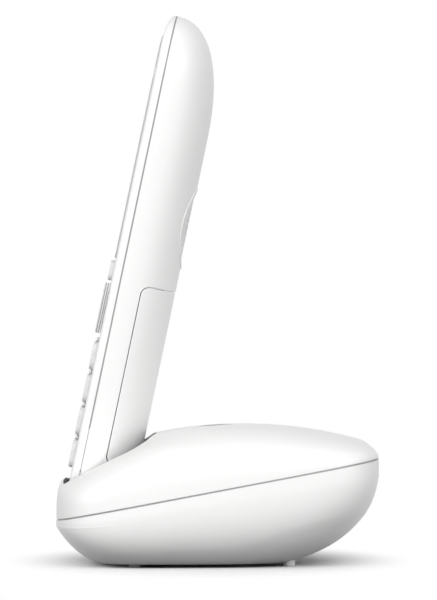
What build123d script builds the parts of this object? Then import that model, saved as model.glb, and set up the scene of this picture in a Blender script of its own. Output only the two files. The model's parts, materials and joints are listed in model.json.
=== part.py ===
from build123d import *
import math
import os

os.makedirs("parts", exist_ok=True)

# All sizes are millimetres. The phone stands on Z = 0, faces -Y, and X is its width.
# The handset is drawn upright in its own frame (X width, Y front to back, Z up its length)
# and then leans back into the base.

# Base: outer form
base_length = 106.0
base_width = 88.0
crown_height = 46.4
crown_y = 8.5
crown_radius = 147.0
lip_height = 28.4
lip_set_back = 1.8
apron_slope = 26.0
ridge_round = 0.6
seam_front_z = 15.4
seam_rear_z = 35.5
foot_lift = 1.2
keel_z = -2.5
keel_y = -5.0
front_wall_run = 2.2
rear_edge_run = 7.0
end_flat = 0.3
seam_band = 2.2
plan_power = 5.0
front_arch_power = 4.0
rear_arch_power = 2.8
belly_power = 2.8
belly_front_power = 5.0
belly_rear_power = 2.3
rear_edge_power = 2.2

# Base: walls, seam and screws
base_wall = 2.0
base_seam_gap = 0.25
tongue_clearance = 0.3
tongue_wall = 0.9
case_screw_front_x = 24.0
case_screw_front_y = -18.5
case_screw_rear_x = 14.0
case_screw_rear_y = 35.0
case_screw_radius = 1.5
case_screw_head_radius = 2.8
case_screw_head_height = 1.8
case_screw_bite = 8.0
case_post_radius = 4.2
case_post_cap = 3.0
screw_clearance = 0.25
thread_fit = 0.05

# Base: feet
foot_length = 8.0
foot_width = 4.0
foot_seat_depth = 0.8
foot_edge_round = 0.4
front_foot_x = 21.0
front_foot_y = -27.0
rear_foot_x = 15.5
rear_foot_y = 23.6

# Base: cable recess, sockets and circuit board
recess_width = 31.0
recess_front_y = 4.0
recess_rear_y = 18.5
recess_height = 12.6
recess_wall = 1.6
channel_width = 5.0
channel_height = 4.6
channel_length = 22.0
socket_x = 7.6
socket_width = 13.6
socket_depth = 15.0
socket_height = 11.4
line_mouth_width = 9.8
power_mouth_width = 7.6
mouth_height = 6.8
mouth_depth = 11.5
mouth_sill = 1.6
latch_notch_width = 3.4
latch_notch_height = 1.0
base_board_width = 54.0
base_board_front_y = -13.5
base_board_rear_y = 28.0
base_board_thickness = 1.6
base_board_corner = 3.0
board_gap = 0.6
board_post_radius = 2.6
board_post_x = 24.0
board_post_inset = 3.2
board_screw_radius = 1.2
board_screw_head_radius = 2.2
board_screw_head_height = 1.4
board_screw_length = 6.0

# Base: page key
page_key_y = -0.5
page_key_radius = 5.2
page_key_clearance = 0.3
page_key_sink = 0.35
page_key_dish = 0.45
page_key_flange = 0.9
page_key_flange_height = 1.0
page_key_travel = 0.6
page_stem_radius = 1.8
page_switch_size = 6.0
page_switch_height = 3.6
page_switch_button = 1.0

# Handset: place in the base
lean = 11.86
seat_set_back = 2.75
seat_z = 23.2

# Handset: outer form
handset_length = 163.0
handset_width = 50.0
handset_depth = 21.55
handset_seam_depth = 3.45
panel_proud = 0.5
handset_corner = 9.0
toe_round = 4.0
front_toe_round = 1.2
top_plan_rise = 22.0
top_rear_rise = 39.0
top_front_rise = 10.0
plan_top_power = 2.5
rear_top_power = 2.3
front_top_power = 2.2
rear_arch = 2.2
front_edge_round = 1.4
handset_wall = 1.8
front_wall = 1.6
handset_seam_gap = 0.25
handset_tip_flat = 0.1

# Handset: cup that it stands in
cup_side_clearance = 0.8
cup_front_gap = 1.05
cup_front_sag = 0.75
cup_rear_gap = 3.5
cup_rear_sag = 3.0
cup_front_corner = 2.5
cup_rear_corner = 5.0
cup_floor_gap = 0.5
cup_floor = 1.7
cup_wall = 1.5

# Charging
contact_x = 9.0
contact_depth = 11.0
contact_radius = 1.1
contact_clearance = 0.3
contact_tip_gap = 0.15
contact_travel = 0.8
contact_flange_radius = 2.0
contact_flange_height = 0.7
contact_spring_wall = 0.4
contact_spring_length = 3.0
bracket_plate = 1.5
bracket_margin = 3.9
charge_pad_radius = 2.5
charge_pad_flange = 0.8

# Battery compartment
cover_line_depth = 10.6
cover_bottom = 13.2
cover_top = 73.1
cover_corner = 3.0
cover_gap = 0.35
cover_wall = 1.6
bay_bottom = 22.5
cell_radius = 5.15
cell_length = 44.5
cell_nub_radius = 1.9
cell_nub_height = 1.0
cell_spacing = 12.4
cell_floor_gap = 0.35
tray_floor_depth = 7.0
tray_floor = 1.2
bulkhead = 1.4
battery_spring_radius = 3.2
battery_plate_thickness = 0.4
battery_dimple_height = 1.0
battery_plate_size = 8.0

# Loudspeaker and its grille
grille_center = 94.85
grille_radius = 12.65
grille_gap = 0.3
grille_sink = 0.4
grille_wall = 1.4
grille_ledge_depth = 17.0
grille_rim = 1.3
grille_hole_radius = 0.6
grille_hole_rings = 4
grille_hole_pitch = 2.3
speaker_radius = 11.0
speaker_clearance = 0.3
speaker_thickness = 2.2
speaker_magnet_radius = 7.0
speaker_magnet_depth = 3.0
speaker_ring_wall = 2.0
speaker_seat = 1.6

# Face panel, display and earpiece
panel_bottom = 80.2
panel_top = 156.0
panel_side_inset = 2.3
panel_top_rise = 18.0
panel_thickness = 0.9
panel_fit = 0.1
panel_bottom_corner = 2.0
window_bottom = 91.0
window_top = 127.0
window_width = 37.0
window_corner = 2.0
window_thickness = 0.75
view_inset = 1.6
display_margin = 1.0
board_front_depth = 5.0
handset_board_thickness = 1.2
handset_board_width = 40.0
handset_board_bottom = 3.0
handset_board_top = 150.0
earpiece_height = 146.0
earpiece_radius = 6.5
earpiece_thickness = 2.4
earpiece_slot_length = 9.0
earpiece_slot_width = 1.2
earpiece_slot_pitch = 2.4
earpiece_slot_count = 3
microphone_height = 5.2
microphone_radius = 2.4
microphone_thickness = 2.2
microphone_hole = 0.6
phone_post_x = 17.0
phone_post_radius = 2.2
phone_post_low_x = 12.0
phone_post_low = 6.2
phone_post_mid = 84.8
phone_post_high = 133.0
phone_screw_radius = 0.9
phone_screw_head_radius = 1.8
phone_screw_head_height = 1.0
phone_screw_length = 4.0

# Keys
key_clearance = 0.3
key_flange = 0.45
key_flange_gap = 0.25
key_flange_thickness = 0.6
key_edge_round = 0.45
mat_thickness = 1.0
dome_height = 0.4
dome_radius = 2.2
mat_width = 42.0
mat_bottom = 9.4
number_key_width = 13.0
number_key_height = 9.4
number_key_corner = 2.6
number_key_proud = 1.0
number_pitch_x = 14.6
number_pitch_z = 10.95
number_bottom_row = 14.35
soft_key_width = 17.0
soft_key_height = 6.8
soft_key_corner = 2.2
soft_key_proud = 0.95
soft_key_x = 12.0
soft_key_z = 75.9
nav_z = 63.2
nav_radius = 8.2
nav_bore_radius = 4.3
nav_proud = 1.75
nav_tilt_room = 0.45
nav_back_depth = 2.15
nav_center_radius = 3.8
nav_center_proud = 1.3
rocker_front_depth = 2.8
rocker_thickness = 0.4
rocker_radius = 7.8
rocker_bore_radius = 4.9
pivot_rib = 0.9
pivot_gap = 0.06
call_key_width = 9.6
call_key_height = 13.6
call_key_corner = 3.2
call_key_proud = 0.9
call_key_x = 16.4

# Detail counts for the curved sections
arch_points = 17
far = 200.0


def ease(share, power):
    """Superellipse quarter: 1 at a share of 0, falling to 0 at a share of 1."""
    share = min(max(share, 0.0), 1.0)
    return (1 - share**power) ** (1 / power)


def superellipse(turn, power):
    """The point of a unit superellipse that lies in the direction of the angle turn."""
    across = math.cos(turn)
    up = math.sin(turn)
    reach = (abs(across) ** power + abs(up) ** power) ** (-1 / power)
    return across * reach, up * reach


def arch_shares(power):
    """Points of a superellipse arch, as shares of its half width and of its height."""
    return [superellipse(math.pi * index / (arch_points - 1), power) for index in range(arch_points)]


def arch_edge(points, start, end):
    """A smooth curve through the points; all arches share one spacing, so lofts stay smooth."""
    spacing = [index / (arch_points - 1) for index in range(arch_points)]
    return Edge.make_spline([Vector(*point) for point in points], tangents=[Vector(*start), Vector(*end)],
                            parameters=spacing)


def save(name, *solids):
    """One file for each piece; several solids make a group of like fasteners."""
    shape = solids[0] if len(solids) == 1 else Compound(children=list(solids))
    export_step(shape, f"parts/{name}.step")


# Base: outer form as arches across the width, one at each station along Y

def seam_z(y):
    return (seam_front_z + seam_rear_z) / 2 + y * (seam_rear_z - seam_front_z) / base_length


def base_reach(inset):
    return base_length / 2 + end_flat - inset


def base_half_width(y, inset):
    return (base_width / 2 - inset) * ease(abs(y) / base_reach(inset), plan_power)


def crown_z(y):
    """Crown arc and sloping apron, met in a soft ridge behind the cup."""
    arc = crown_height - (y - crown_y) ** 2 / (2 * crown_radius)
    lip_y = lip_set_back - base_length / 2
    apron = lip_height + (y - lip_y) * math.tan(math.radians(apron_slope))
    return (arc + apron) / 2 - math.hypot((arc - apron) / 2, ridge_round)


def upper_rise(y, inset):
    from_front = (y + base_reach(inset)) / front_wall_run
    from_rear = (base_reach(inset) - y) / rear_edge_run
    ends = ease(1 - from_front, 2) * ease(1 - from_rear, rear_edge_power)
    return (crown_z(y) - inset - seam_z(y)) * ends


def belly_drop(y, inset):
    """Depth under the seam: a power curve up to the front, a superellipse up to the rear."""
    reach = base_reach(inset)
    low = keel_z + inset
    if y < keel_y:
        share = (keel_y - y) / (keel_y + reach)
        end = seam_z(-reach) - seam_band
        return seam_z(y) - low - (end - low) * share**belly_front_power
    share = (y - keel_y) / (reach - keel_y)
    end = seam_z(reach) - seam_band
    return seam_z(y) - end + (end - low) * ease(share, belly_rear_power)


def base_section(y, half_width, rise, power, skirt):
    """A closed arch in the plane Y = y on straight legs, which reach past the seam by skirt."""
    side = math.copysign(1, rise)
    points = [(side * half_width * across, y, seam_z(y) + rise * up) for across, up in arch_shares(power)]
    arch = arch_edge(points, (0, 0, side), (0, 0, -side))
    legs = Polyline(points[-1], (points[-1][0], y, seam_z(y) - side * skirt),
                    (points[0][0], y, seam_z(y) - side * skirt), points[0])
    return Wire([arch, *legs.edges()])


def base_stations(inset):
    """Stations along Y, close together where the ends turn over."""
    reach = base_length / 2 - inset
    ends = [0.0, 0.25, 0.7, 1.3, 2.0, 3.0, 5.0, 8.0]
    front = [step - reach for step in ends]
    rear = [reach - step for step in reversed(ends)]
    middle_count = 14
    span = rear[0] - front[-1]
    middle = [front[-1] + span * (index + 1) / (middle_count + 1) for index in range(middle_count)]
    return front + middle + rear


def upper_form(inset, skirt):
    """The upper half of the base, with straight walls that reach past the seam by skirt."""
    sections = []
    for y in base_stations(inset):
        blend = (y + base_length / 2) / base_length
        power = front_arch_power + (rear_arch_power - front_arch_power) * blend
        sections.append(base_section(y, base_half_width(y, inset), upper_rise(y, inset), power, skirt))
    return Solid.make_loft(sections)


def lower_form(inset, skirt):
    """The lower half of the base, cut flat underneath, with straight walls past the seam by skirt."""
    sections = []
    for y in base_stations(inset):
        sections.append(base_section(y, base_half_width(y, inset), -belly_drop(y, inset), belly_power, skirt))
    under = Pos(0, 0, foot_lift + inset - far / 2) * Box(far, far, far)
    return Solid.make_loft(sections) - under


def seam_slab(low, high):
    """A slab lying along the seam plane, from low to high above it."""
    tilt = math.degrees(math.atan2(seam_rear_z - seam_front_z, base_length))
    slab = Box(far, far, high - low, align=(Align.CENTER, Align.CENTER, Align.MIN))
    return Location((0, 0, seam_z(0)), (tilt, 0, 0)) * Pos(0, 0, low) * slab


# Handset: outer form as arches across the width, one at each station up its length

seat = Location((0, seat_set_back - base_length / 2, seat_z), (-lean, 0, 0))


def front_plane(depth):
    """A drawing plane across the handset: X across, Y up its length, facing the front."""
    return Plane((0, depth, 0), x_dir=(1, 0, 0), z_dir=(0, -1, 0))


def slab_between(sketch, front, back):
    return extrude(front_plane(back) * sketch, amount=back - front)


def bore_between(x, z, radius, front, back):
    return slab_between(Pos(x, z) * Circle(radius), front, back)


def toe_share(z, inset, radius):
    """How far a rounded lower edge still stands back at height z."""
    room = max(radius - inset, 0.2)
    climb = min(max(z - inset, 0.0), room)
    return room - math.sqrt(room**2 - (room - climb) ** 2)


def handset_half_width(z, inset):
    rise = top_plan_rise + handset_tip_flat - inset
    top = ease((z - handset_length + top_plan_rise) / rise, plan_top_power)
    return (handset_width / 2 - inset - toe_share(z, inset, handset_corner)) * top


def rear_depth(z, inset):
    rise = top_rear_rise + handset_tip_flat - inset
    top = ease((z - handset_length + top_rear_rise) / rise, rear_top_power)
    return (handset_depth - handset_seam_depth - inset - toe_share(z, inset, toe_round)) * top


def front_depth(z):
    rise = top_front_rise + handset_tip_flat
    top = ease((z - handset_length + top_front_rise) / rise, front_top_power)
    return (handset_seam_depth - panel_proud - toe_share(z, 0, front_toe_round)) * top


def handset_stations(inset):
    """Stations up the length, close together at the toe and towards the tip."""
    toe = [inset + handset_corner * step for step in (0.0, 0.04, 0.12, 0.25, 0.45, 0.7, 1.0)]
    tip_start = handset_length - top_rear_rise
    run = top_rear_rise - inset
    tip = [tip_start + run * math.sin(math.radians(turn)) for turn in (0, 12, 24, 35, 46, 56, 65, 73, 80, 85, 90)]
    straight_count = 6
    span = tip[0] - toe[-1]
    straight = [toe[-1] + span * (index + 1) / (straight_count + 1) for index in range(straight_count)]
    return toe + straight + tip


def rear_form(inset, lap=0.0):
    """The handset behind its seam, with lap added in front of the seam face."""
    sections = []
    for z in handset_stations(inset):
        half = handset_half_width(z, inset)
        start = handset_seam_depth + handset_seam_gap / 2 - lap
        depth = rear_depth(z, inset) + lap
        points = [(half * across, start + depth * back, z) for across, back in arch_shares(rear_arch)]
        arch = arch_edge(points, (0, 1, 0), (0, -1, 0))
        sections.append(Wire([arch, Line(points[-1], points[0])]))
    return Solid.make_loft(sections)


def front_form():
    """The handset in front of its seam: a flat face with a rounded edge, curling over the top."""
    sections = []
    for z in handset_stations(0):
        half = handset_half_width(z, 0)
        back = handset_seam_depth - handset_seam_gap / 2
        depth = front_depth(z) - handset_seam_gap / 2
        edge = min(front_edge_round, 0.6 * depth)
        face = back - depth
        slack = edge * (1 - math.sqrt(0.5))
        right = Line((half, back, z), (half, face + edge, z))
        right_edge = ThreePointArc((half, face + edge, z), (half - slack, face + slack, z), (half - edge, face, z))
        flat = Line((half - edge, face, z), (edge - half, face, z))
        left_edge = ThreePointArc((edge - half, face, z), (slack - half, face + slack, z), (-half, face + edge, z))
        left = Line((-half, face + edge, z), (-half, back, z))
        base = Line((-half, back, z), (half, back, z))
        sections.append(Wire([right, right_edge, flat, left_edge, left, base]))
    return Solid.make_loft(sections)


def handset_outline(inset, bottom, top, top_rise):
    """Plan outline of the handset inside its edge, from bottom to top, with an arched top."""
    half = handset_width / 2 - inset
    arch = [(half * across, top - top_rise + top_rise * up) for across, up in arch_shares(plan_top_power)]
    crest = arch_edge(arch, (0, 1), (0, -1))
    sides = Polyline(arch[-1], (-half, bottom), (half, bottom), arch[0])
    return make_face([crest, sides])


def cup_outline(margin):
    """Cross-section of the cup, square to the handset's length, grown by margin."""
    half = handset_width / 2 + cup_side_clearance + margin
    front = -cup_front_gap - margin
    rear = handset_depth + cup_rear_gap + margin
    front_arc = ThreePointArc((-half, front + cup_front_sag), (0, front), (half, front + cup_front_sag))
    right = Line((half, front + cup_front_sag), (half, rear - cup_rear_sag))
    rear_arc = ThreePointArc((half, rear - cup_rear_sag), (0, rear), (-half, rear - cup_rear_sag))
    left = Line((-half, rear - cup_rear_sag), (-half, front + cup_front_sag))
    outline = make_face([front_arc, right, rear_arc, left])
    corners = outline.vertices().sort_by(Axis.Y)
    outline = fillet(corners[:2], cup_front_corner + margin)
    corners = outline.vertices().sort_by(Axis.Y)
    return fillet(corners[-2:], cup_rear_corner + margin)


def cup_prism(margin, bottom):
    return seat * extrude(Plane.XY.offset(bottom) * cup_outline(margin), amount=far / 2)


# Base: shared places

def upright(x, y, radius, low, high):
    """A round post or bore standing from low to high."""
    return Pos(x, y, low) * Cylinder(radius, high - low, align=(Align.CENTER, Align.CENTER, Align.MIN))


def block(x_low, x_high, y_low, y_high, z_low, z_high):
    """A box between two corners."""
    size = Box(x_high - x_low, y_high - y_low, z_high - z_low, align=(Align.MIN, Align.MIN, Align.MIN))
    return Pos(x_low, y_low, z_low) * size


def mirrored(places):
    return [(side * x, y) for x, y in places for side in (-1, 1)]


case_screw_places = mirrored([(case_screw_front_x, case_screw_front_y), (case_screw_rear_x, case_screw_rear_y)])
foot_places = mirrored([(front_foot_x, front_foot_y), (rear_foot_x, rear_foot_y)])
board_post_places = mirrored([(board_post_x, base_board_front_y + board_post_inset),
                              (board_post_x, base_board_rear_y - board_post_inset)])
recess_top_z = foot_lift + recess_height
board_bottom_z = recess_top_z + recess_wall + board_gap
board_top_z = board_bottom_z + base_board_thickness
socket_front_y = recess_front_y - recess_wall
socket_bottom_z = board_bottom_z - socket_height
mouth_bottom_z = socket_bottom_z + mouth_sill
mouth_widths = {"line_socket": line_mouth_width, "power_socket": power_mouth_width}
socket_sides = {"line_socket": -socket_x, "power_socket": socket_x}
contact_sides = {"charge_contact_left": -contact_x, "charge_contact_right": contact_x}
cup_bottom = -cup_floor_gap - cup_floor
page_top_z = crown_z(page_key_y) - page_key_sink
page_flange_reach = page_key_radius + page_key_flange
page_flange_top_z = crown_z(page_key_y - page_flange_reach) - base_wall - page_key_clearance
page_flange_bottom_z = page_flange_top_z - page_key_flange_height
page_switch_top_z = board_top_z + page_switch_height + page_switch_button


def contact_bore(x, radius, low, high):
    """A round piece along the handset's length, below its seat in the cup."""
    return Pos(x, contact_depth, low) * Cylinder(radius, high - low, align=(Align.CENTER, Align.CENTER, Align.MIN))


# Base: upper shell with its cup

upper_outer = upper_form(0, base_wall) - seam_slab(-far, base_seam_gap / 2)


def make_upper_shell():
    shell = upper_outer - upper_form(base_wall, 2 * base_wall)
    shell += cup_prism(cup_wall, cup_bottom) & upper_outer
    for x, y in case_screw_places:
        shell += upright(x, y, case_post_radius, seam_z(y) + base_seam_gap, far) & upper_outer
    shell -= cup_prism(0, -cup_floor_gap)
    shell -= upright(0, page_key_y, page_key_radius + page_key_clearance, board_top_z, far)
    for x, y in case_screw_places:
        shell -= upright(x, y, case_screw_radius + thread_fit, 0, seam_z(y) + case_screw_bite)
    for x in contact_sides.values():
        shell -= seat * contact_bore(x, contact_radius + contact_clearance, cup_bottom - 1, 0)
    return shell


# Base: lower shell with its cable recess

lower_outer = lower_form(0, base_wall) - seam_slab(-base_seam_gap / 2, far)


def make_lower_shell():
    half = recess_width / 2
    housing = block(-half - recess_wall, half + recess_wall, socket_front_y, recess_rear_y + recess_wall,
                    keel_z, recess_top_z + recess_wall)
    for x in socket_sides.values():
        side = channel_width / 2 + recess_wall
        housing += block(x - side, x + side, recess_rear_y, recess_rear_y + channel_length,
                         keel_z, foot_lift + channel_height + recess_wall)
    for x, y in case_screw_places:
        housing += upright(x, y, case_post_radius, keel_z, seam_z(y) - base_seam_gap)
    for x, y in board_post_places:
        housing += upright(x, y, board_post_radius, keel_z, board_bottom_z)
    shell = lower_outer - (lower_form(base_wall, 2 * base_wall) - housing)
    shell -= block(-half, half, recess_front_y, recess_rear_y, -1, recess_top_z)
    for name, x in socket_sides.items():
        side = channel_width / 2
        shell -= block(x - side, x + side, recess_rear_y - 1, recess_rear_y + far, -1, foot_lift + channel_height)
        mouth = mouth_widths[name] / 2 + screw_clearance
        shell -= block(x - mouth, x + mouth, socket_front_y - 1, recess_front_y + 1,
                       socket_bottom_z, mouth_bottom_z + mouth_height + screw_clearance)
    for x, y in case_screw_places:
        head_top = seam_z(y) - case_post_cap
        shell -= upright(x, y, case_screw_head_radius + screw_clearance, -1, head_top)
        shell -= upright(x, y, case_screw_radius + screw_clearance, head_top - 1, far)
    for x, y in board_post_places:
        shell -= upright(x, y, board_screw_radius + thread_fit, board_top_z - board_screw_length - 1, far)
    for x, y in foot_places:
        seat_outline = SlotOverall(foot_length + 2 * thread_fit, foot_width + 2 * thread_fit)
        shell -= Pos(x, y, -1) * extrude(seat_outline, amount=1 + foot_lift + foot_seat_depth)
    return shell


def make_foot(x, y):
    pad = extrude(SlotOverall(foot_length, foot_width), amount=foot_lift + foot_seat_depth)
    pad = fillet(pad.faces().sort_by(Axis.Z)[0].edges(), foot_edge_round)
    return Pos(x, y, 0) * pad


def make_case_screw(x, y):
    head_top = seam_z(y) - case_post_cap
    head = upright(x, y, case_screw_head_radius, head_top - case_screw_head_height, head_top)
    slot = upright(x, y, case_screw_radius / 2, 0, head_top - case_screw_head_height / 2)
    return head + upright(x, y, case_screw_radius, head_top, seam_z(y) + case_screw_bite - 1) - slot


def make_base_board():
    middle_y = (base_board_front_y + base_board_rear_y) / 2
    length = base_board_rear_y - base_board_front_y
    outline = Pos(0, middle_y) * RectangleRounded(base_board_width, length, base_board_corner)
    board = Pos(0, 0, board_bottom_z) * extrude(outline, amount=base_board_thickness)
    for x, y in board_post_places:
        board -= upright(x, y, board_screw_radius + screw_clearance, 0, far)
    return board


def make_board_screw(x, y):
    head = upright(x, y, board_screw_head_radius, board_top_z, board_top_z + board_screw_head_height)
    slot = upright(x, y, board_screw_radius / 2, board_top_z + board_screw_head_height / 2, far)
    return head + upright(x, y, board_screw_radius, board_top_z - board_screw_length, board_top_z) - slot


def make_socket(name):
    x = socket_sides[name]
    half = socket_width / 2
    mouth = mouth_widths[name] / 2
    body = block(x - half, x + half, socket_front_y - socket_depth, socket_front_y, socket_bottom_z, board_bottom_z)
    inside = socket_front_y - mouth_depth
    body -= block(x - mouth, x + mouth, inside, recess_front_y, mouth_bottom_z, mouth_bottom_z + mouth_height)
    notch = latch_notch_width / 2
    return body - block(x - notch, x + notch, inside, recess_front_y,
                        mouth_bottom_z - latch_notch_height, mouth_bottom_z)


def make_page_key():
    """A dished disc whose top follows the crown, with a collar and a stem down to its switch."""
    body = upright(0, page_key_y, page_key_radius, page_flange_bottom_z, far)
    key = body & (Pos(0, 0, -page_key_sink) * upper_outer)
    dish_half = page_key_radius - page_key_sink
    dish_radius = (dish_half**2 + page_key_dish**2) / (2 * page_key_dish)
    key -= Pos(0, page_key_y, page_top_z - page_key_dish + dish_radius) * Sphere(dish_radius)
    key += upright(0, page_key_y, page_flange_reach, page_flange_bottom_z, page_flange_top_z)
    stem_bottom = page_switch_top_z + page_key_travel + page_key_clearance
    return key + upright(0, page_key_y, page_stem_radius, stem_bottom, page_flange_bottom_z)


def make_page_switch():
    half = page_switch_size / 2
    body = block(-half, half, page_key_y - half, page_key_y + half, board_top_z, board_top_z + page_switch_height)
    return body + upright(0, page_key_y, page_stem_radius, board_top_z + page_switch_height, page_switch_top_z)


# Charging contacts in the cup's floor

flange_top = cup_bottom - contact_clearance
flange_bottom = flange_top - contact_flange_height
bracket_top = flange_bottom - contact_travel - contact_spring_length
bracket_bottom = bracket_top - bracket_plate
spring_top = bracket_top + contact_spring_length - contact_tip_gap


def make_contact(x):
    pin = contact_bore(x, contact_radius, bracket_bottom + contact_travel, -contact_tip_gap)
    pin = fillet(pin.faces().sort_by(Axis.Z)[-1].edges(), contact_radius / 2)
    return seat * (pin + contact_bore(x, contact_flange_radius, flange_bottom, flange_top))


def make_contact_spring(x):
    inner = contact_radius + contact_clearance
    tube = contact_bore(x, inner + contact_spring_wall, bracket_top, spring_top)
    return seat * (tube - contact_bore(x, inner, bracket_top - 1, far))


def make_bracket():
    """A strap under the cup's floor that guides the two pins."""
    half = contact_x + bracket_margin
    reach = contact_flange_radius + contact_clearance + bracket_plate / 2
    strap = block(-half, half, contact_depth - reach, contact_depth + reach, bracket_bottom, cup_bottom)
    strap -= block(bracket_plate - half, half - bracket_plate, -far, far, bracket_top, far)
    for x in contact_sides.values():
        strap -= contact_bore(x, contact_radius + contact_clearance, bracket_bottom - 1, far)
    return seat * strap


# Handset: shared places

inner_face = panel_proud + front_wall
board_back_depth = board_front_depth + handset_board_thickness
mat_front_depth = board_front_depth - mat_thickness
flange_front_depth = inner_face + key_flange_gap
flange_back_depth = flange_front_depth + key_flange_thickness
tray_back_depth = tray_floor_depth + tray_floor
cavity_top = panel_top + 1.0
phone_post_places = mirrored([(phone_post_low_x, phone_post_low), (phone_post_x, phone_post_mid),
                              (phone_post_x, phone_post_high)])
window_middle = (window_bottom + window_top) / 2
window_height = window_top - window_bottom
view_width = window_width - 2 * view_inset
view_height = window_height - 2 * view_inset

# Keys by name: middle across, middle up, width, height, corner radius and how far it stands proud
key_table = {}
number_rows = [("star", "0", "hash"), ("7", "8", "9"), ("4", "5", "6"), ("1", "2", "3")]
for row, names in enumerate(number_rows):
    for column, name in enumerate(names):
        key_table[f"key_{name}"] = ((column - 1) * number_pitch_x, number_bottom_row + row * number_pitch_z,
                                    number_key_width, number_key_height, number_key_corner, number_key_proud)
for name, side in (("left", -1), ("right", 1)):
    key_table[f"soft_key_{name}"] = (side * soft_key_x, soft_key_z,
                                     soft_key_width, soft_key_height, soft_key_corner, soft_key_proud)
for name, side in (("talk_key", -1), ("end_key", 1)):
    key_table[name] = (side * call_key_x, nav_z, call_key_width, call_key_height, call_key_corner, call_key_proud)


def key_outline(size, margin):
    x, z, width, height, corner, proud = size
    return Pos(x, z) * RectangleRounded(width + 2 * margin, height + 2 * margin, corner + margin)


# Handset: shells

rear_outer = rear_form(0)
rear_core = rear_form(handset_wall / 2)


def length_slab(low, high):
    """Everything between two heights up the handset."""
    return Pos(0, 0, low) * Box(far, far, high - low, align=(Align.CENTER, Align.CENTER, Align.MIN))


def depth_slab(front, back):
    """Everything between two depths behind the handset's face."""
    return Pos(0, front, 0) * Box(far, back - front, 2 * far, align=(Align.CENTER, Align.MIN, Align.CENTER))


def cover_region(gap):
    """The space of the battery cover: the rear of the handset, with rounded corners on its sides."""
    front = cover_line_depth + gap
    height = cover_top - cover_bottom - 2 * gap
    outline = RectangleRounded(far, height, cover_corner - gap)
    middle = (cover_bottom + cover_top) / 2
    return extrude(Plane.YZ * Pos(front + far / 2, middle) * outline, amount=far, both=True)


def make_rear_shell():
    shell = rear_outer - rear_form(handset_wall, lap=1)
    ends = length_slab(cover_bottom - bulkhead, cover_bottom) + length_slab(cover_top, cover_top + bulkhead)
    tray = depth_slab(tray_floor_depth, tray_back_depth) & length_slab(cover_bottom - bulkhead, cover_top + bulkhead)
    shell += rear_core & (tray + (ends & depth_slab(tray_floor_depth, far)))
    ring_radius = grille_radius + grille_gap + speaker_ring_wall
    speaker_back = grille_ledge_depth - speaker_thickness
    shell += rear_core & bore_between(0, grille_center, ring_radius, speaker_back - speaker_seat, far)
    lip = front_wall + tongue_clearance
    lip_inner = lip + tongue_wall
    rib = handset_outline(lip, lip, cavity_top - tongue_clearance, panel_top_rise)
    rib_inside = handset_outline(lip_inner, lip_inner, cavity_top - tongue_clearance - tongue_wall, panel_top_rise)
    root = handset_outline(handset_wall / 2, handset_wall / 2, cavity_top, panel_top_rise)
    back = board_front_depth - screw_clearance
    start = handset_seam_depth + handset_seam_gap / 2
    tongue = slab_between(rib, inner_face + tongue_clearance, back)
    tongue += slab_between(root, start, back) & rear_outer
    shell += tongue - slab_between(rib_inside, 0, far)
    shell -= cover_region(0)
    bay_wall = length_slab(bay_bottom - bulkhead, bay_bottom) & depth_slab(tray_floor_depth, far)
    shell += rear_form(cover_wall + 2 * cover_gap) & bay_wall
    shell -= bore_between(0, grille_center, grille_radius + grille_gap, grille_ledge_depth, far)
    shell -= bore_between(0, grille_center, speaker_radius + speaker_clearance, speaker_back, far)
    shell -= bore_between(0, grille_center, speaker_magnet_radius + 2 * speaker_clearance, board_back_depth, far)
    for x in contact_sides.values():
        shell -= contact_bore(x, charge_pad_radius + panel_fit, -1, handset_wall + panel_fit)
    return shell


def make_front_cover():
    cover = front_form()
    cavity = handset_outline(front_wall, front_wall, cavity_top, panel_top_rise)
    cover -= slab_between(cavity, inner_face, far)
    for x, z in phone_post_places:
        cover += bore_between(x, z, phone_post_radius, inner_face, board_front_depth)
        cover -= bore_between(x, z, phone_screw_radius + thread_fit, board_back_depth - phone_screw_length - 0.3, far)
    cover -= slab_between(panel_outline(panel_fit), -far, panel_thickness)
    view = Pos(0, window_middle) * RectangleRounded(view_width, view_height, window_corner)
    cover -= slab_between(view + earpiece_slots(), -far, inner_face)
    holes = Sketch() + [key_outline(size, key_clearance) for size in key_table.values()]
    holes += Pos(0, nav_z) * Circle(nav_radius + nav_tilt_room)
    holes += Pos(0, microphone_height) * Circle(microphone_hole)
    return cover - slab_between(holes, -far, inner_face)


def panel_outline(margin):
    inset = panel_side_inset - margin
    outline = handset_outline(inset, panel_bottom - margin, panel_top + margin, panel_top_rise)
    low_corners = outline.vertices().sort_by(Axis.Y)[:2]
    return fillet(low_corners, panel_bottom_corner + margin)


def earpiece_slots():
    slots = Sketch()
    for index in range(earpiece_slot_count):
        z = earpiece_height + (index - (earpiece_slot_count - 1) / 2) * earpiece_slot_pitch
        slots += Pos(0, z) * SlotOverall(earpiece_slot_length, earpiece_slot_width)
    return slots


def make_face_panel():
    window = Pos(0, window_middle) * RectangleRounded(window_width, window_height, window_corner)
    return slab_between(panel_outline(0) - window - earpiece_slots(), 0, panel_thickness)


def make_display_window():
    fit = 2 * panel_fit
    pane = Pos(0, window_middle) * RectangleRounded(window_width - fit, window_height - fit, window_corner - panel_fit)
    return slab_between(pane, panel_thickness - window_thickness, panel_thickness)


def make_display_module():
    body = Pos(0, window_middle) * Rectangle(view_width + 2 * display_margin, view_height + 2 * display_margin)
    return slab_between(body, inner_face, board_front_depth)


def make_handset_board():
    height = handset_board_top - handset_board_bottom
    middle = (handset_board_top + handset_board_bottom) / 2
    board = slab_between(Pos(0, middle) * RectangleRounded(handset_board_width, height, base_board_corner),
                         board_front_depth, board_back_depth)
    for x, z in phone_post_places:
        board -= bore_between(x, z, phone_screw_radius + screw_clearance, 0, far)
    return board


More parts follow.
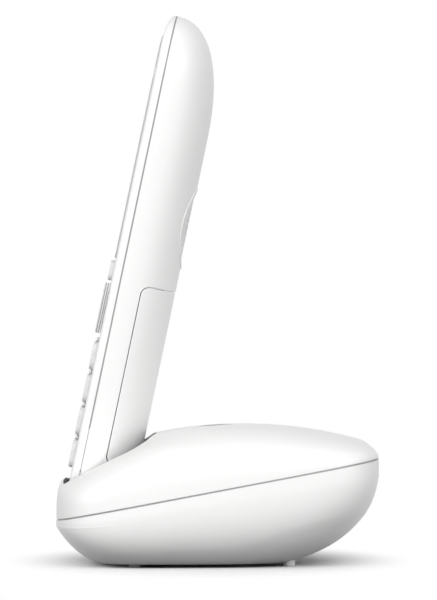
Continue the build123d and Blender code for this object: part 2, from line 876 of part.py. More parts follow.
def make_phone_screw(x, z):
    head = bore_between(x, z, phone_screw_head_radius, board_back_depth, board_back_depth + phone_screw_head_height)
    slot = bore_between(x, z, phone_screw_radius / 2, board_back_depth + phone_screw_head_height / 2, far)
    return head + bore_between(x, z, phone_screw_radius, board_back_depth - phone_screw_length, board_back_depth) - slot


def make_battery_cover():
    return (rear_outer - rear_form(cover_wall)) & cover_region(cover_gap)


def make_grille():
    """A crowned disc, sunk a little into the rear shell, with rings of sound holes."""
    disc = rear_form(grille_sink) & bore_between(0, grille_center, grille_radius, grille_ledge_depth, far)
    disc -= rear_form(grille_sink + grille_wall) & bore_between(
        0, grille_center, grille_radius - grille_rim, 0, far)
    holes = Sketch() + Pos(0, grille_center) * Circle(grille_hole_radius)
    for ring in range(1, grille_hole_rings):
        for place in PolarLocations(ring * grille_hole_pitch, 6 * ring):
            holes += Pos(0, grille_center) * place * Circle(grille_hole_radius)
    return disc - slab_between(holes, 0, far)


def make_loudspeaker():
    back = grille_ledge_depth - speaker_thickness
    basket = bore_between(0, grille_center, speaker_radius, back, grille_ledge_depth)
    return basket + bore_between(0, grille_center, speaker_magnet_radius, back - speaker_magnet_depth, back)


# Batteries and their contacts

cell_axis_depth = tray_back_depth + cell_floor_gap + cell_radius
spring_length = cover_top - bay_bottom - cell_length - battery_plate_thickness - battery_dimple_height


def along_cell(side, radius, low, high, end_radius=None):
    """A round piece on a cell's axis; the left cell stands up and the right one hangs down."""
    x = side * cell_spacing / 2
    tip = radius if end_radius is None else end_radius
    low_end = bay_bottom + low if side < 0 else cover_top - high
    lower, upper = (radius, tip) if side < 0 else (tip, radius)
    shape = Cylinder(radius, high - low) if end_radius is None else Cone(lower, upper, high - low)
    return Pos(x, cell_axis_depth, low_end + (high - low) / 2) * shape


def make_cell(side):
    start = spring_length
    shoulder = start + cell_length - cell_nub_height
    return along_cell(side, cell_radius, start, shoulder) + along_cell(
        side, cell_nub_radius, shoulder, start + cell_length)


def make_battery_spring(side):
    return along_cell(side, battery_spring_radius, 0, spring_length, end_radius=battery_spring_radius / 2)


def make_battery_plate(side):
    dimple_start = spring_length + cell_length
    plate_start = dimple_start + battery_dimple_height
    dimple = along_cell(side, cell_nub_radius, dimple_start, plate_start)
    half = battery_plate_size / 2
    x = side * cell_spacing / 2
    face = bay_bottom + plate_start if side < 0 else bay_bottom
    return dimple + block(x - half, x + half, cell_axis_depth - half, cell_axis_depth + half,
                          face, face + battery_plate_thickness)


def make_charge_pad(x):
    face = contact_bore(x, charge_pad_radius, panel_fit, handset_wall)
    flange = charge_pad_radius + charge_pad_flange
    return face + contact_bore(x, flange, handset_wall, handset_wall + charge_pad_flange)


# Keys

def make_key(size):
    proud = size[-1]
    cap = slab_between(key_outline(size, 0), -proud, flange_back_depth)
    cap = fillet(cap.faces().sort_by(Axis.Y)[0].edges(), key_edge_round)
    return cap + slab_between(key_outline(size, key_flange), flange_front_depth, flange_back_depth)


def make_mat():
    top = panel_bottom - board_gap
    middle = (mat_bottom + top) / 2
    sheet = Pos(0, middle) * Rectangle(mat_width, top - mat_bottom)
    mat = slab_between(sheet, mat_front_depth, board_front_depth)
    domes = Sketch() + [Pos(size[0], size[1]) * Circle(dome_radius) for size in key_table.values()]
    domes += Pos(0, nav_z) * Circle(dome_radius)
    return mat + slab_between(domes, mat_front_depth - dome_height, mat_front_depth)


def make_nav_ring():
    ring = slab_between(Pos(0, nav_z) * Circle(nav_radius), -nav_proud, nav_back_depth)
    ring = fillet(ring.faces().sort_by(Axis.Y)[0].edges(), key_edge_round)
    ring -= bore_between(0, nav_z, nav_bore_radius, -far, far)
    rib_place = (nav_radius + nav_bore_radius) / 2
    ribs = Sketch() + [Pos(0, nav_z + side * rib_place) * Rectangle(pivot_rib, 2 * pivot_rib) for side in (-1, 1)]
    return ring + slab_between(ribs, nav_back_depth, rocker_front_depth - pivot_gap)


def make_rocker_plate():
    back = rocker_front_depth + rocker_thickness
    plate = Pos(0, nav_z) * (Circle(rocker_radius) - Circle(rocker_bore_radius))
    rib_place = (rocker_radius + rocker_bore_radius) / 2
    ribs = Sketch() + [Pos(side * rib_place, nav_z) * Rectangle(2 * pivot_rib, pivot_rib) for side in (-1, 1)]
    return slab_between(plate, rocker_front_depth, back) + slab_between(ribs, back, mat_front_depth - pivot_gap)


def make_nav_center():
    cap = bore_between(0, nav_z, nav_center_radius, -nav_center_proud, flange_back_depth)
    return fillet(cap.faces().sort_by(Axis.Y)[0].edges(), key_edge_round)


# Write every piece where it stands

save("base_upper_shell", make_upper_shell())
save("base_lower_shell", make_lower_shell())
save("base_feet", *[make_foot(x, y) for x, y in foot_places])
save("base_case_screws", *[make_case_screw(x, y) for x, y in case_screw_places])
save("base_circuit_board", make_base_board())
save("base_board_screws", *[make_board_screw(x, y) for x, y in board_post_places])
for name in socket_sides:
    save(name, make_socket(name))
save("page_key", make_page_key())
save("page_switch", make_page_switch())
for name, x in contact_sides.items():
    save(name, make_contact(x))
save("contact_springs", *[make_contact_spring(x) for x in contact_sides.values()])
save("contact_bracket", make_bracket())

handset_pieces = {
    "handset_front_cover": make_front_cover(),
    "handset_rear_shell": make_rear_shell(),
    "battery_cover": make_battery_cover(),
    "face_panel": make_face_panel(),
    "display_window": make_display_window(),
    "display_module": make_display_module(),
    "earpiece_receiver": bore_between(0, earpiece_height, earpiece_radius,
                                      inner_face, inner_face + earpiece_thickness),
    "loudspeaker": make_loudspeaker(),
    "speaker_grille": make_grille(),
    "microphone": bore_between(0, microphone_height, microphone_radius,
                               inner_face, inner_face + microphone_thickness),
    "handset_circuit_board": make_handset_board(),
    "keypad_mat": make_mat(),
    "battery_cell_left": make_cell(-1),
    "battery_cell_right": make_cell(1),
    "nav_rocker_plate": make_rocker_plate(),
    "nav_ring": make_nav_ring(),
    "nav_center_key": make_nav_center(),
}
for name, size in key_table.items():
    handset_pieces[name] = make_key(size)
for name, piece in handset_pieces.items():
    save(name, seat * piece)
save("handset_board_screws", *[seat * make_phone_screw(x, z) for x, z in phone_post_places])
save("battery_springs", *[seat * make_battery_spring(side) for side in (-1, 1)])
save("battery_plates", *[seat * make_battery_plate(side) for side in (-1, 1)])
save("charge_pads", *[seat * make_charge_pad(x) for x in contact_sides.values()])
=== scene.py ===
import json
import math

import bpy
import numpy as np
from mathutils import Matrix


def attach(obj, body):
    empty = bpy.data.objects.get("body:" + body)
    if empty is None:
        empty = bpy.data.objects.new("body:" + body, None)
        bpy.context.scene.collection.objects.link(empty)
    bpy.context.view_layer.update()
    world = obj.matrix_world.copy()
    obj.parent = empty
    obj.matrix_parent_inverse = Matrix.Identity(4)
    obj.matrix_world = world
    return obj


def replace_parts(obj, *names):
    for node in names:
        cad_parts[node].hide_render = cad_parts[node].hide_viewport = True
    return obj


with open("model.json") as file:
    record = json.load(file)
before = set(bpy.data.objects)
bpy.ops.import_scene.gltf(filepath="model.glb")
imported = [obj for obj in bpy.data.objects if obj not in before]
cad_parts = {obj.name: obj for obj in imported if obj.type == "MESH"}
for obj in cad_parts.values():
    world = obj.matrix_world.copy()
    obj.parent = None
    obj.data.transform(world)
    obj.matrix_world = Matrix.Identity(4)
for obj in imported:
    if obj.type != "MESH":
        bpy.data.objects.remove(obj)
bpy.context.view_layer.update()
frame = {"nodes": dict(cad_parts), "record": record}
nodes = frame["nodes"]
slot_of = {entry["node"]: entry["material_slot"] for entry in frame["record"]["subparts"]}

# Sizes in millimetres, in the row frame: the phone stands on Z = 0, faces -Y, and X is its width

# Base: plan and seam
BASE_HALF_LENGTH, BASE_HALF_WIDTH = 53.0, 44.0
BASE_REACH = BASE_HALF_LENGTH + 0.3
PLAN_POWER, RAY_LENGTH = 5, 120.0
SEAM_MIDDLE, SEAM_SLOPE = 25.45, 20.1 / 106.0
SEAM_OPEN, SEAM_DEPTH = 0.38, 0.7

# Base: upper shell with its cup and page key
CROWN_HEIGHT, CROWN_Y, CROWN_RADIUS = 46.4, 8.5, 147.0
LIP_HEIGHT, LIP_Y, APRON_SLOPE, RIDGE_ROUND = 28.1, -51.2, math.radians(26.2), 0.6
APRON_SWELL, SWELL_START, SWELL_RUN = 2.8, 8, 18
ARCH_POWER, ARCH_POWER_DROP = 4, 1.2
FRONT_RUN, FRONT_POWER = 1.6, 2
REAR_RUN, REAR_POWER = 7.0, 2.2
CUP_HALF, CUP_FRONT, CUP_REAR, CUP_FLOOR = 25.8, -1.75, 25.05, -0.5
CUP_FRONT_BOW, CUP_REAR_BOW = 0.75, 3.0
CUP_FRONT_CORNER, CUP_REAR_CORNER = 2.5, 5.0
PAGE_Y, PAGE_HOLE, PAGE_RADIUS, PAGE_MARGIN = -0.5, 5.5, 5.2, 2.2

# Base: belly of the lower shell
KEEL_Z, KEEL_Y, FLAT_Z, SEAM_BAND = -2.5, -5.0, 1.2, 2.2
KEEL_FRONT_POWER, KEEL_REAR_POWER, BELLY_POWER = 5, 2.3, 2.8

# Handset: it leans back in its cup; places on it are across, behind its face and up its length
LEAN = math.radians(11.86)
SEAT_Y, SEAT_Z = -50.25, 23.2
LEAN_UP = np.array([0.0, math.sin(LEAN), math.cos(LEAN)])
HANDSET_HALF, REAR_START, REAR_DEPTH, REAR_ARCH = 25.0, 3.575, 18.1, 2.2
HANDSET_LENGTH, HANDSET_SEAM, HANDSET_CORNER = 163.0, 3.45, 9.0
TIP_RISE, TIP_POWER = 22.0, 2.5
COVER_LINE, COVER_BOTTOM, COVER_TOP, COVER_CORNER = 10.6, 13.2, 73.1, 3.0
GRILLE_UP, GRILLE_RADIUS = 94.85, 12.65

# Keys: their middles, and the depths of their faces (negative is in front of the handset's face)
KEY_UP, ROW_STEP, COLUMN_STEP = 14.35, 10.95, 14.6
NAV_UP, CALL_X, SOFT_X, SOFT_UP = 63.2, 16.4, 12.0, 75.9
NUMBER_FACE, CALL_FACE, RING_FACE, SOFT_FACE = -1.0, -0.9, -1.75, -0.95
SIDES = ((-1, "left"), (1, "right"))

# Meshes and finishes, in metres and radians
WELD_REACH, CRISP_ANGLE, SMOOTH_ANGLE = 1e-6, math.radians(28), math.radians(35)
GRAIN_DEPTH = 0.0002
HALVINGS, TINY = 44, 1e-6


def on_handset(across, depth, up):
    """Turns handset places by the lean and moves them to the seat, in the row frame."""
    across, depth, up = np.broadcast_arrays(*(np.asarray(v, float) for v in (across, depth, up)))
    y = SEAT_Y + up * math.sin(LEAN) + depth * math.cos(LEAN)
    z = SEAT_Z + up * math.cos(LEAN) - depth * math.sin(LEAN)
    return np.stack([across, y, z], -1)


# Shared material effects

def new_group(name, inputs, outputs):
    """An empty shader node group with named float or colour sockets."""
    group = bpy.data.node_groups.new(name, "ShaderNodeTree")
    for label, kind, value in inputs:
        socket = group.interface.new_socket(label, in_out="INPUT", socket_type=kind)
        socket.default_value = value
    for label, kind in outputs:
        group.interface.new_socket(label, in_out="OUTPUT", socket_type=kind)
    return group, group.nodes.new("NodeGroupInput"), group.nodes.new("NodeGroupOutput")


def math_node(tree, operation, *inputs):
    """The result of a math node whose inputs are plain numbers or the outputs of other nodes."""
    node = tree.nodes.new("ShaderNodeMath")
    node.operation = operation
    for socket, value in zip(node.inputs, inputs):
        if isinstance(value, float):
            socket.default_value = value
        else:
            tree.links.new(value, socket)
    return node.outputs[0]


def noise_node(tree, place, scale, detail):
    """Noise of a linked scale and a fixed detail."""
    noise = tree.nodes.new("ShaderNodeTexNoise")
    noise.inputs["Detail"].default_value = detail
    tree.links.new(place, noise.inputs["Vector"])
    tree.links.new(scale, noise.inputs["Scale"])
    return noise.outputs["Fac"]


def grain_group():
    """Moulded grain: fine noise for the height, and broad noise that shifts the tone a little."""
    group, given, result = new_group(
        "moulded_grain",
        [("Fine", "NodeSocketFloat", 2500.0), ("Broad", "NodeSocketFloat", 35.0),
         ("Colour", "NodeSocketColor", (1, 1, 1, 1)), ("Shift", "NodeSocketFloat", 0.02),
         ("Roughness", "NodeSocketFloat", 0.4)],
        [("Colour", "NodeSocketColor"), ("Roughness", "NodeSocketFloat"),
         ("Height", "NodeSocketFloat")])
    link = group.links.new
    place = group.nodes.new("ShaderNodeTexCoord").outputs["Object"]
    fine = noise_node(group, place, given.outputs["Fine"], 2.0)
    broad = noise_node(group, place, given.outputs["Broad"], 3.0)
    swing = math_node(group, "SUBTRACT", broad, 0.5)
    amount = math_node(group, "MULTIPLY", swing, given.outputs["Shift"])
    tone = group.nodes.new("ShaderNodeHueSaturation")
    link(math_node(group, "ADD", amount, 1.0), tone.inputs["Value"])
    link(given.outputs["Colour"], tone.inputs["Color"])
    rough = math_node(group, "MULTIPLY_ADD", amount, 2.0, given.outputs["Roughness"])
    link(tone.outputs["Color"], result.inputs["Colour"])
    link(rough, result.inputs["Roughness"])
    link(fine, result.inputs["Height"])
    return group


GRAIN = grain_group()


def finish_material(name, colour, roughness, grain=0.02, **sockets):
    """A Principled finish whose colour, roughness and bump come from the grain group."""
    material = bpy.data.materials.new(name)
    material.use_nodes = True
    tree = material.node_tree
    shader = tree.nodes["Principled BSDF"]
    skin = tree.nodes.new("ShaderNodeGroup")
    skin.node_tree = GRAIN
    skin.inputs["Colour"].default_value = (*colour, 1.0)
    skin.inputs["Roughness"].default_value = roughness
    bump = tree.nodes.new("ShaderNodeBump")
    bump.inputs["Strength"].default_value = grain
    bump.inputs["Distance"].default_value = GRAIN_DEPTH
    tree.links.new(skin.outputs["Colour"], shader.inputs["Base Color"])
    tree.links.new(skin.outputs["Roughness"], shader.inputs["Roughness"])
    tree.links.new(skin.outputs["Height"], bump.inputs["Height"])
    tree.links.new(bump.outputs["Normal"], shader.inputs["Normal"])
    for label, value in sockets.items():
        shader.inputs[label.replace("_", " ")].default_value = value
    return material


FINISHES = {
    "white_shell": finish_material("satin_white_shell", (0.86, 0.86, 0.855), 0.36),
    "grille": finish_material("grille_plastic", (0.78, 0.78, 0.78), 0.42),
    "silver_panel": finish_material("silver_lacquer", (0.5, 0.51, 0.52), 0.28, Coat_Weight=0.4),
    "window": finish_material("display_glass", (0.9, 0.92, 0.93), 0.05, grain=0.0,
                              Transmission_Weight=0.9, IOR=1.49),
    "display": finish_material("display_back", (0.36, 0.41, 0.37), 0.5),
    "key_plastic": finish_material("key_plastic", (0.76, 0.76, 0.76), 0.4),
    "bright_metal": finish_material("plated_ring", (0.7, 0.7, 0.71), 0.16, grain=0.005,
                                    Metallic=1.0),
    "soft_foot": finish_material("soft_foot", (0.72, 0.73, 0.72), 0.6, grain=0.05),
    "board": finish_material("circuit_board", (0.05, 0.2, 0.08), 0.45),
    "steel": finish_material("plain_steel", (0.5, 0.5, 0.5), 0.35, Metallic=1.0),
    "contact_metal": finish_material("nickel_contact", (0.72, 0.7, 0.64), 0.2, Metallic=1.0),
    "dark_plastic": finish_material("dark_plastic", (0.03, 0.03, 0.033), 0.5),
    "inner_plastic": finish_material("inner_plastic", (0.7, 0.7, 0.69), 0.5),
    "mat": finish_material("key_mat", (0.6, 0.6, 0.59), 0.7, grain=0.05),
    "cell": finish_material("cell_sleeve", (0.2, 0.25, 0.28), 0.35),
}
# Flat dark grey painted where shade falls: inside the cup and the page key's hole, on the trim
# grooves' floors and over the handset's seam
PAINTED_SHADE = finish_material("painted_shade_grey", (0.3, 0.3, 0.3), 0.5)
# A mid grey painted as the shade in the base's seam groove
SEAM_SHADE = finish_material("shaded_seam", (0.4, 0.4, 0.4), 0.5)
TRIM_GREY = finish_material("grey_trim", (0.62, 0.62, 0.63), 0.4, Metallic=0.25)
KEY_PRINT = finish_material("grey_key_print", (0.16, 0.165, 0.17), 0.5)
TALK_PRINT = finish_material("green_key_print", (0.06, 0.36, 0.1), 0.5)
END_PRINT = finish_material("red_key_print", (0.5, 0.04, 0.04), 0.5)


def dress_node(name):
    """A CAD node keeps its shape: welded and smoothed, its edges kept crisp, in its own finish."""
    node = nodes[name]
    node.data.materials.clear()
    node.data.materials.append(FINISHES[slot_of[name]])
    node.data.shade_smooth()
    weld = node.modifiers.new("weld", "WELD")
    weld.merge_threshold = WELD_REACH
    split = node.modifiers.new("crisp_edges", "EDGE_SPLIT")
    split.split_angle = CRISP_ANGLE


for node_name in nodes:
    dress_node(node_name)


# Pieces worked out on grids

def add_object(name, data):
    """A new object in the scene, at the origin."""
    added = bpy.data.objects.new(name, data)
    bpy.context.scene.collection.objects.link(added)
    return added


def place_piece(mesh, name, body, slot, finish=None):
    """Smooths a mesh, gives it its finish and lets it ride its body."""
    mesh.materials.clear()
    mesh.materials.append(finish or FINISHES[slot])
    mesh.shade_smooth()
    mesh.set_sharp_from_angle(angle=SMOOTH_ANGLE)
    piece = add_object(name, mesh)
    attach(piece, body)
    return piece


class Sheet:
    """Points in numbered layouts, joined into quads, that become one piece."""

    def __init__(self):
        self.points, self.faces, self.count, self.shade_painted = [], [], 0, None

    def add(self, points):
        """Keeps an array of points and gives back their numbers in the same layout."""
        points = np.asarray(points, float)
        numbers = self.count + np.arange(points[..., 0].size).reshape(points.shape[:-1])
        self.points.append(points.reshape(-1, 3))
        self.count += numbers.size
        return numbers

    def join(self, numbers, closed=True, keep=None):
        """Quads between neighbouring rows and columns; closed joins the last to the first."""
        if closed:
            numbers = np.concatenate([numbers, numbers[:, :1]], 1)
        corners = numbers[:-1, :-1], numbers[:-1, 1:], numbers[1:, 1:], numbers[1:, :-1]
        quads = np.stack(corners, -1)
        quads = quads.reshape(-1, 4) if keep is None else quads[keep]
        self.faces += quads.tolist()

    def paint_shade(self):
        """Marks every face added from here on for the second finish, the flat grey of painted
        shade.
        """
        self.shade_painted = len(self.faces)

    def cap(self, ring):
        """One flat face over a ring of points."""
        self.faces.append(ring.tolist())

    def ends(self, numbers):
        """Flat faces over the first and the last row."""
        self.cap(numbers[0][::-1])
        self.cap(numbers[-1])

    def make(self, name, body, slot, finish=None):
        """The piece itself, at the origin, riding its body."""
        mesh = bpy.data.meshes.new(name)
        mesh.from_pydata((np.concatenate(self.points) / 1000).tolist(), [], self.faces)
        piece = place_piece(mesh, name, body, slot, finish)
        # The marked faces get the flat dark grey of painted shade
        if self.shade_painted is not None:
            mesh.materials.append(PAINTED_SHADE)
            shade_painted = np.arange(len(self.faces)) >= self.shade_painted
            mesh.polygons.foreach_set("material_index", shade_painted.astype(np.int32))
        return piece


def ease(share, power):
    """Superellipse quarter: 1 at a share of 0, falling to 0 at a share of 1."""
    return (1 - np.clip(share, 0, 1) ** power) ** (1 / power)


def smooth_step(value, start, run):
    """0 up to the start, 1 past the run, and a smooth cubic between them."""
    share = np.clip((value - start) / run, 0, 1)
    return share**2 * (3 - 2 * share)


def halve(inside, near, far):
    """Distance along each ray where a test that holds at near stops holding, by halving."""
    near, far = np.broadcast_arrays(near, far)
    near, far = near.copy(), far.copy()
    for _ in range(HALVINGS):
        middle = (near + far) / 2
        held = inside(middle)
        near, far = np.where(held, middle, near), np.where(held, far, middle)
    return (near + far) / 2


def bend(first, corner, last, count):
    """Rows of a quadratic curve that rounds the corner between two points, less its first row."""
    step = np.linspace(0, 1, count + 1)[1:, None, None]
    return (1 - step) ** 2 * first + 2 * step * (1 - step) * corner + step**2 * last


# Base: upper shell

def seam_height(y):
    """The seam lies in one slanted plane."""
    return SEAM_MIDDLE + y * SEAM_SLOPE


def crown_rise(x, y):
    """Crown above the seam: an arc and a sloping apron, met in a soft ridge.

    The apron swells along the middle by a parabola across the cup's width.
    """
    arc = CROWN_HEIGHT - (y - CROWN_Y) ** 2 / (2 * CROWN_RADIUS)
    swell = APRON_SWELL * smooth_step(y - LIP_Y, SWELL_START, SWELL_RUN)
    swell = swell * np.clip(1 - (x / CUP_HALF) ** 2, 0, 1)
    apron = LIP_HEIGHT + (y - LIP_Y) * math.tan(APRON_SLOPE) + swell
    return (arc + apron) / 2 - np.hypot((arc - apron) / 2, RIDGE_ROUND) - seam_height(y)


def width_arch(x, y, power):
    """Superellipse arch across the base: 1 in the middle, 0 at the edge of its plan."""
    half = BASE_HALF_WIDTH * ease(np.abs(y) / BASE_REACH, PLAN_POWER)
    return ease(np.abs(x) / np.maximum(half, TINY), power)


def rise_share(x, y):
    """Share of the crown's rise: arches across, turned over at the front and rear ends."""
    power = ARCH_POWER - ARCH_POWER_DROP * (y + BASE_HALF_LENGTH) / (2 * BASE_HALF_LENGTH)
    front = ease(1 - (y + BASE_REACH) / FRONT_RUN, FRONT_POWER)
    rear = ease(1 - (BASE_REACH - y) / REAR_RUN, REAR_POWER)
    return front * rear * width_arch(x, y, power)


def upper_height(x, y):
    """Height of the upper shell: the seam plus the crown's rise times its share."""
    return seam_height(y) + crown_rise(x, y) * rise_share(x, y)


def in_outline(x, y):
    """The base's plan is a superellipse with its two ends cut straight."""
    oval = np.abs(x / BASE_HALF_WIDTH) ** PLAN_POWER + np.abs(y / BASE_REACH) ** PLAN_POWER
    return (oval < 1) & (np.abs(y) < BASE_HALF_LENGTH)


def plan_rays(columns, first_turn, middle_y):
    """Rays in plan from a place on the middle line: places at a reach, and the outline's reach."""
    turn = np.linspace(first_turn, first_turn + 2 * math.pi, columns, endpoint=False)

    def at(reach):
        return reach * np.cos(turn), middle_y + reach * np.sin(turn)

    edge = halve(lambda reach: in_outline(*at(reach)), 0.0 * turn, 0.0 * turn + RAY_LENGTH)
    return at, edge


def cup_distance(x, depth):
    """Distance from the cup's wall: a rounded rectangle with a bowed front and rear."""
    bow = (x / CUP_HALF) ** 2
    front, rear = CUP_FRONT + CUP_FRONT_BOW * bow, CUP_REAR - CUP_REAR_BOW * bow
    corner = np.where(depth < (front + rear) / 2, CUP_FRONT_CORNER, CUP_REAR_CORNER)
    across = np.abs(x) - CUP_HALF + corner
    along = np.abs(depth - (front + rear) / 2) - (rear - front) / 2 + corner
    outside = np.hypot(np.maximum(across, 0), np.maximum(along, 0))
    return outside + np.minimum(np.maximum(across, along), 0) - corner


def depth_of(y, z):
    """How far behind the handset's face a place of the row frame lies."""
    return (y - SEAT_Y) * math.cos(LEAN) - (z - SEAT_Z) * math.sin(LEAN)


def make_upper_skin():
    """Rays from the middle of the cup: up the wall, over the crown, round the rim and down inside.

    The wall's rows lie at even shares of the crown's rise, the crown's rows crowd at the wall,
    and the cup goes down along the handset's lean to a flat floor. The cup's inside, from its
    rounded rim on, and the page key's hole wall are painted dark grey as shade. Gives back a
    path inside the seam.
    """
    columns, wall_rows, crown_rows, foot_rows, rim_rows, painted_shade_rim_rows = 480, 26, 84, 4, 6, 4
    middle_y, land, foot, wall_top, crowding, lip = -36.0, 2.0, 0.25, 0.85, 1.6, 0.3
    at, edge = plan_rays(columns, -math.pi / 2, middle_y)

    def rim(level):
        def within(reach):
            x, y = at(reach)
            return cup_distance(x, depth_of(y, upper_height(x, y))) < level
        return halve(within, np.zeros_like(edge), edge)

    def surface(reach):
        x, y = at(reach)
        return np.stack([x, y, upper_height(x, y)], -1)

    def on_land(inset):
        x, y = at(edge - inset)
        return np.stack([x, y, seam_height(y) + SEAM_OPEN], -1)

    start = (SEAM_OPEN + foot) / crown_rise(*at(edge))
    shares = start + (wall_top - start) * np.linspace(0, 1, wall_rows)[:, None]
    reach = halve(lambda r: rise_share(*at(r)) > shares,
                  np.broadcast_to(rim(lip), shares.shape), edge)
    x, y = at(reach)
    wall = np.stack([x, y, seam_height(y) + crown_rise(x, y) * shares], -1)
    spread = np.linspace(0, 1, crown_rows + 1)[1:, None] ** crowding
    crown = surface(reach[-1] + (rim(lip) - reach[-1]) * spread)
    brink = surface(rim(0.0))
    below = brink - lip * LEAN_UP
    drop = ((below - [0, SEAT_Y, SEAT_Z]) @ LEAN_UP - CUP_FLOOR)[:, None]
    down = np.array([0.25, 0.5, 0.75, 0.95, 1.0])[:, None, None]
    inside = below - down * drop * LEAN_UP
    shrink = np.array([0.985, 0.6, 0.25])[:, None, None]
    floor_middle = inside[-1].mean(0)
    floor = floor_middle + (inside[-1] - floor_middle) * shrink

    outer = on_land(foot)
    land_rows = [on_land(land)[None], outer[None]]
    rows = [*land_rows, bend(outer, on_land(0.0), wall[0], foot_rows), wall[1:], crown,
            bend(crown[-1], brink, below, rim_rows), inside, floor]
    sheet = Sheet()
    numbers = sheet.add(np.concatenate(rows))
    low, high, left, right = page_window(crown, len(land_rows) + foot_rows + wall_rows - 1)
    keep = np.ones((len(numbers) - 1, columns), bool)
    keep[low:high, left:right] = False
    well = len(numbers) - len(inside) - len(floor) - painted_shade_rim_rows
    sheet.join(numbers[:well], keep=keep[:well - 1])
    hole_wall = make_page_hole(sheet, numbers[low:high + 1, left:right + 1])
    # From here on the faces get painted shade: the cup's inside and the page key's hole wall
    sheet.paint_shade()
    sheet.join(numbers[well - 1:])
    sheet.join(hole_wall)
    sheet.cap(numbers[-1])
    skin = sheet.make("base_upper_skin", "base", "white_shell")
    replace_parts(skin, "base_upper_shell")
    return on_land(SEAM_DEPTH)


def page_window(crown, first):
    """The rows and columns of the crown that enclose the page key's hole with a margin."""
    near = np.abs(crown[..., 0]) < PAGE_HOLE + PAGE_MARGIN
    near &= np.abs(crown[..., 1] - PAGE_Y) < PAGE_HOLE + PAGE_MARGIN
    rows, columns = np.nonzero(near)
    return first + rows.min() - 1, first + rows.max() + 1, columns.min() - 1, columns.max() + 1


def page_circle(radius, turn):
    """Places on the crown at a radius round the page key's middle."""
    x, y = radius * np.cos(turn), PAGE_Y + radius * np.sin(turn)
    return np.stack([x, y, upper_height(x, y)], -1)


def make_page_hole(sheet, block):
    """Rows from the edge of an open window inwards to a round hole, its rounded lip and its wall.

    The lip and wall aren't joined here: their rows are given back, to be painted dark grey as
    shade.
    """
    slope_rows, lip_rows, lip, depth = 6, 5, 0.4, 2.6
    ring = np.concatenate([block[0, :-1], block[:-1, -1], block[-1, :0:-1], block[:0:-1, 0]])
    edge = np.concatenate(sheet.points)[ring]
    turn = np.arctan2(edge[:, 1] - PAGE_Y, edge[:, 0])
    order = np.argsort(turn)
    ring, edge, turn = ring[order], edge[order], turn[order]
    span = np.hypot(edge[:, 0], edge[:, 1] - PAGE_Y)
    shares = np.linspace(0, 1, slope_rows + 1)[1:, None]
    slope = page_circle(span + (PAGE_HOLE + lip - span) * shares, turn)
    brink = page_circle(PAGE_HOLE, turn)
    below = brink - [0, 0, lip]
    rows = [slope, bend(slope[-1], brink, below, lip_rows), (below - [0, 0, depth])[None]]
    numbers = np.concatenate([ring[None], sheet.add(np.concatenate(rows))])
    first_lip = 1 + slope_rows
    sheet.join(numbers[:first_lip + 1])
    return numbers[first_lip:]


def make_seam_tongue(path):
    """A band that closes the seam's groove: an upright wall carried along a path inside it.

    Its grey is painted shade, standing for the dark of the groove.
    """
    low, high = -1.4, 0.8
    rise = np.array([low, high])[:, None, None] * np.array([0, 0, 1.0])
    sheet = Sheet()
    sheet.join(sheet.add(path + rise))
    sheet.make("base_seam_tongue", "base", "white_shell", SEAM_SHADE)


def make_page_cap():
    """A round key along the crown: flush behind, sunk in front, with a rounded edge and a skirt."""
    columns, top_rows, edge_rows = 96, 9, 5
    eye, edge, skirt, sink, tilt = 0.4, 0.35, 2.0, 0.32, 0.3
    turn = np.linspace(0, 2 * math.pi, columns, endpoint=False)

    def circle(radius):
        ring = page_circle(radius, turn)
        ring[:, 2] -= sink - tilt * (ring[:, 1] - PAGE_Y) / PAGE_RADIUS
        return ring

    top = np.stack([circle(r) for r in np.linspace(eye, PAGE_RADIUS - edge, top_rows)])[::-1]
    brink = circle(PAGE_RADIUS)
    below = brink - [0, 0, edge]
    rounded = bend(below, brink, top[0], edge_rows)
    foot = below - [0, 0, skirt]
    sheet = Sheet()
    numbers = sheet.add(np.concatenate([foot[None], below[None], rounded, top[1:]]))
    sheet.join(numbers)
    sheet.ends(numbers)
    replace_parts(sheet.make("page_key_cap", "page_key", "white_shell"), "page_key")


make_seam_tongue(make_upper_skin())
make_page_cap()


# Base: outside of the lower shell below the seam

def belly_height(x, y):
    """Height of the belly: a keel arched across the width.

    The keel is a power curve up to the front and a superellipse up to the rear.
    """
    front_end, rear_end = (seam_height(side * BASE_REACH) - SEAM_BAND for side in (-1, 1))
    front = np.clip((KEEL_Y - y) / (KEEL_Y + BASE_REACH), 0, 1)
    rear = (y - KEEL_Y) / (BASE_REACH - KEEL_Y)
    keel = np.where(y < KEEL_Y, KEEL_Z + (front_end - KEEL_Z) * front**KEEL_FRONT_POWER,
                    rear_end - (rear_end - KEEL_Z) * ease(rear, KEEL_REAR_POWER))
    return seam_height(y) + (keel - seam_height(y)) * width_arch(x, y, BELLY_POWER)


def make_belly_band():
    """Rays from the middle of the base: rows of even height from the seam down the belly.

    The band stands a little proud of the shell, sinks into it along its last rows, and stops
    higher behind, above the screw wells and the cord channels.
    """
    columns, rows, seam_gap = 480, 44, 0.18
    reach_down, rear_stop, rear_start, rear_run = 0.96, 0.32, 0.1, 0.6
    sink, sink_start, sink_run = 0.24, 0.8, 0.2
    at, edge = plan_rays(columns, 0.0, 0.0)
    top = seam_height(at(edge)[1]) - seam_gap
    lowest = reach_down - rear_stop * smooth_step(at(1.0)[1], rear_start, rear_run)
    step = np.linspace(0, 1, rows)[:, None]
    share = lowest * step
    level = top + (FLAT_Z - top) * share
    reach = halve(lambda r: belly_height(*at(r)) < level, np.zeros_like(level),
                  np.broadcast_to(edge, level.shape))
    proud = np.interp(share, [0, 0.05, 0.16], [0.03, 0.06, 0.18])
    x, y = at(reach + proud - sink * np.clip((step - sink_start) / sink_run, 0, 1))
    sheet = Sheet()
    sheet.join(sheet.add(np.stack([x, y, level], -1)[::-1]))
    sheet.make("base_lower_band", "base", "white_shell")


make_belly_band()


